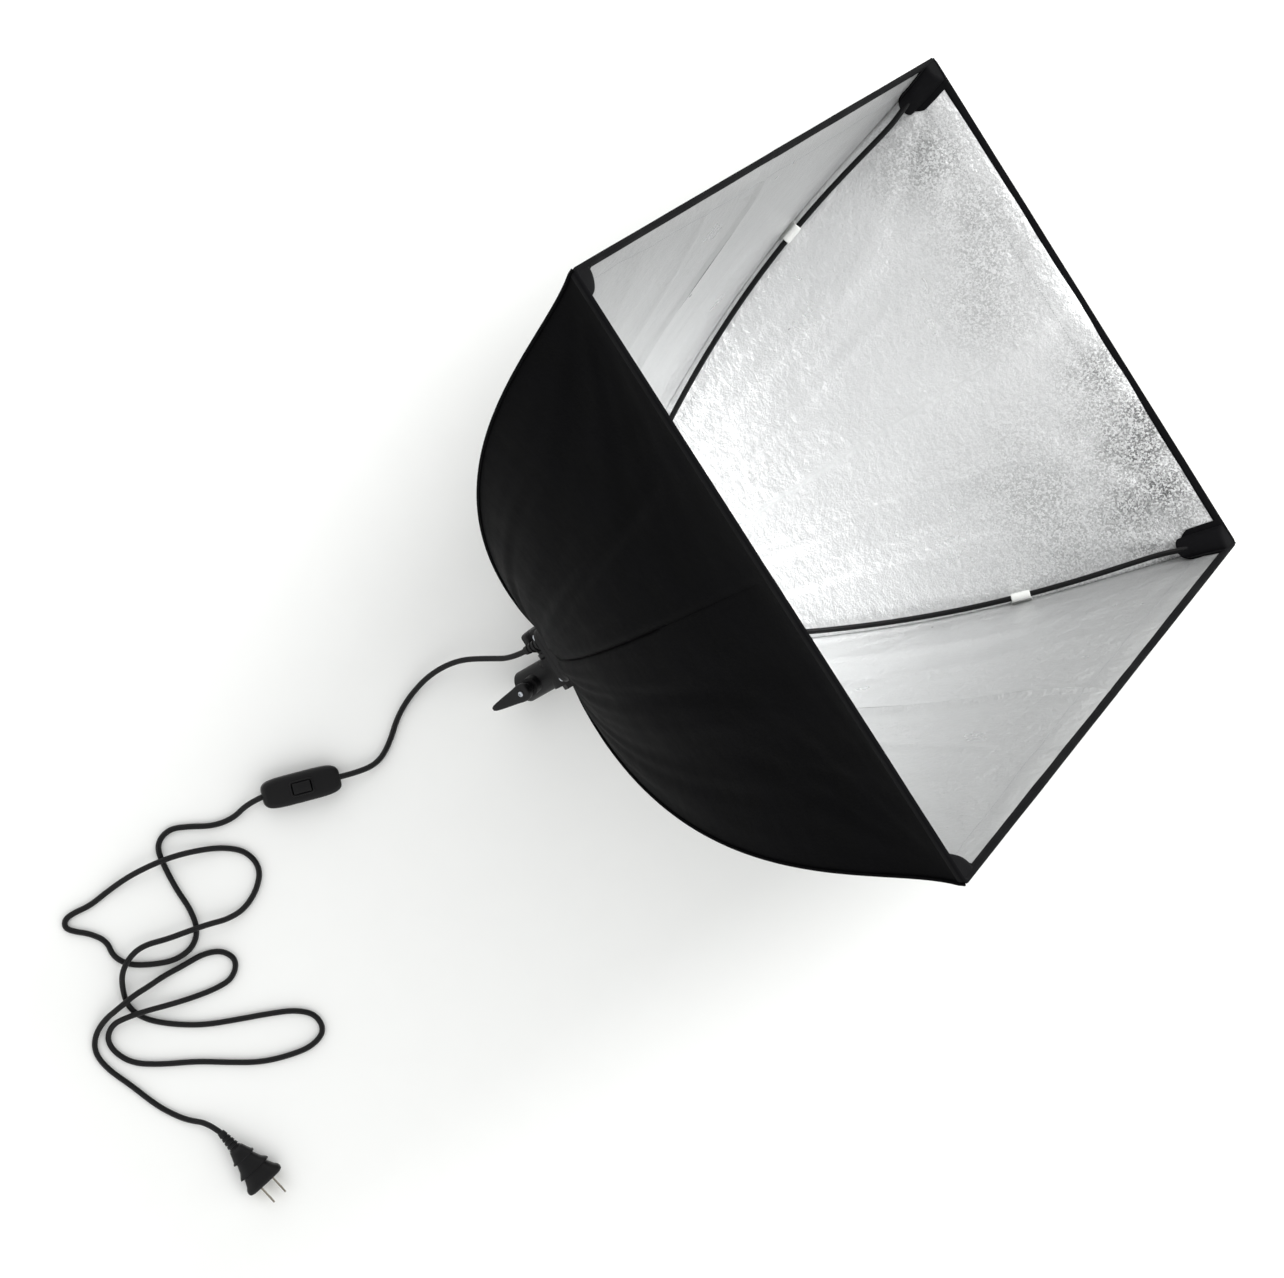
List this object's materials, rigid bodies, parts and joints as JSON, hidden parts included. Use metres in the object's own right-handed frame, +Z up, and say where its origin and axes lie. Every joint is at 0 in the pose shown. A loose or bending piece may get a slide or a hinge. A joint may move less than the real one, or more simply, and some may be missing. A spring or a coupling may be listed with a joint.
{
  "type": "studio softbox",
  "caption": "Rectangular fabric softbox on folding ribs, silver lined, with a lamp holder, tilting stand receiver, and a mains lead with an inline switch and plug.",
  "frame": {"origin": "bottom centre of the softbox as it lies on the floor, without its lead", "axes": "+Z up; -Y towards the mouth; +X across the mouth's short side"},
  "size_m": [0.5142, 1.0688, 0.5947],
  "materials": {
    "black_moulding": "moulded ABS, fine spark texture",
    "black_tape": "woven binding tape",
    "blade_metal": "nickel-plated brass",
    "contact_brass": "stamped brass",
    "cord_pvc": "matt PVC",
    "holder_resin": "heat-resisting moulded resin",
    "plug_pvc": "moulded PVC",
    "reflector_fabric": "black nylon outside, silver-coated inside",
    "rib_rod": "black pultruded fibreglass",
    "shell_metal": "rolled thread shell",
    "white_tape": "woven tape",
    "zinc_steel": "zinc plated"
  },
  "bodies": {
    "head": {"panel_top": "reflector_fabric", "panel_bottom": "reflector_fabric", "panel_left": "reflector_fabric", "panel_right": "reflector_fabric", "edge_binding": "black_tape", "fold_pins": "zinc_steel", "hub": "black_moulding", "lamp_holder": "holder_resin", "lamp_thread_shell": "shell_metal", "lamp_contact": "contact_brass", "rear_housing": "black_moulding", "rear_cover": "black_moulding", "cover_screws": "zinc_steel", "tilt_bracket": "zinc_steel", "bracket_screws": "zinc_steel", "tilt_bolt": "zinc_steel", "cable_gland": "cord_pvc", "cord_lamp": "cord_pvc", "cord_mains": "cord_pvc", "switch_base": "black_moulding", "switch_cover": "black_moulding", "switch_screws": "zinc_steel", "plug_relief": "plug_pvc", "plug_body": "plug_pvc", "plug_blades": "blade_metal"},
    "rib_arm_1": {"rib_1": "rib_rod", "rib_socket_1": "zinc_steel", "rib_keeper_1": "white_tape", "corner_pocket_1": "black_tape"},
    "rib_arm_2": {"rib_2": "rib_rod", "rib_socket_2": "zinc_steel", "rib_keeper_2": "white_tape", "corner_pocket_2": "black_tape"},
    "rib_arm_3": {"rib_3": "rib_rod", "rib_socket_3": "zinc_steel", "rib_keeper_3": "white_tape", "corner_pocket_3": "black_tape"},
    "rib_arm_4": {"rib_4": "rib_rod", "rib_socket_4": "zinc_steel", "rib_keeper_4": "white_tape", "corner_pocket_4": "black_tape"},
    "receiver": {"stand_receiver": "black_moulding"},
    "clamp_shank": {"clamp_screw": "zinc_steel"},
    "lever": {"clamp_lever": "black_moulding"},
    "knob": {"tilt_knob": "black_moulding"},
    "rocker": {"switch_rocker": "black_moulding"}
  },
  "joints": [
    {"name": "rib_fold_1", "type": "hinge", "parent": "head", "child": "rib_arm_1", "pos_m": [0.01686, 0.22651, 0.08875], "axis": [0.8137, -0.395, -0.4264], "range_deg": [0, 40]},
    {"name": "rib_fold_2", "type": "hinge", "parent": "head", "child": "rib_arm_2", "pos_m": [-0.01686, 0.22651, 0.08875], "axis": [0.8137, 0.395, 0.4264], "range_deg": [0, 40]},
    {"name": "rib_fold_3", "type": "hinge", "parent": "head", "child": "rib_arm_3", "pos_m": [-0.01686, 0.19444, 0.05412], "axis": [-0.8137, 0.395, 0.4264], "range_deg": [0, 40]},
    {"name": "rib_fold_4", "type": "hinge", "parent": "head", "child": "rib_arm_4", "pos_m": [0.01686, 0.19444, 0.05412], "axis": [-0.8137, -0.395, -0.4264], "range_deg": [0, 40]},
    {"name": "receiver_tilt", "type": "hinge", "parent": "head", "child": "receiver", "pos_m": [-0.0145, 0.24569, 0.03882], "axis": [1, 0, 0], "range_deg": [-90, 45]},
    {"name": "clamp_travel", "type": "slide", "parent": "receiver", "child": "clamp_shank", "axis": [0, -0.6796, -0.7336], "range_m": [0, 0.003]},
    {"name": "clamp_turn", "type": "hinge", "parent": "clamp_shank", "child": "lever", "pos_m": [-0.0145, 0.28572, 0.04671], "axis": [0, -0.6796, -0.7336], "range_deg": [0, 720]},
    {"name": "tilt_lock_turn", "type": "hinge", "parent": "head", "child": "knob", "pos_m": [0.015, 0.24569, 0.03882], "axis": [1, 0, 0], "range_deg": [0, 360]},
    {"name": "switch_rock", "type": "hinge", "parent": "head", "child": "rocker", "pos_m": [0.02, 0.485, 0.0165], "axis": [-0.9463, 0.3233, 0], "range_deg": [-6, 6]}
  ],
  "couplings": [
    {"joint": "rib_fold_2", "follows": "rib_fold_1", "ratio": 1},
    {"joint": "rib_fold_3", "follows": "rib_fold_1", "ratio": 1},
    {"joint": "rib_fold_4", "follows": "rib_fold_1", "ratio": 1},
    {"joint": "clamp_turn", "follows": "clamp_travel", "rad_per_m": 4188.8}
  ]
}
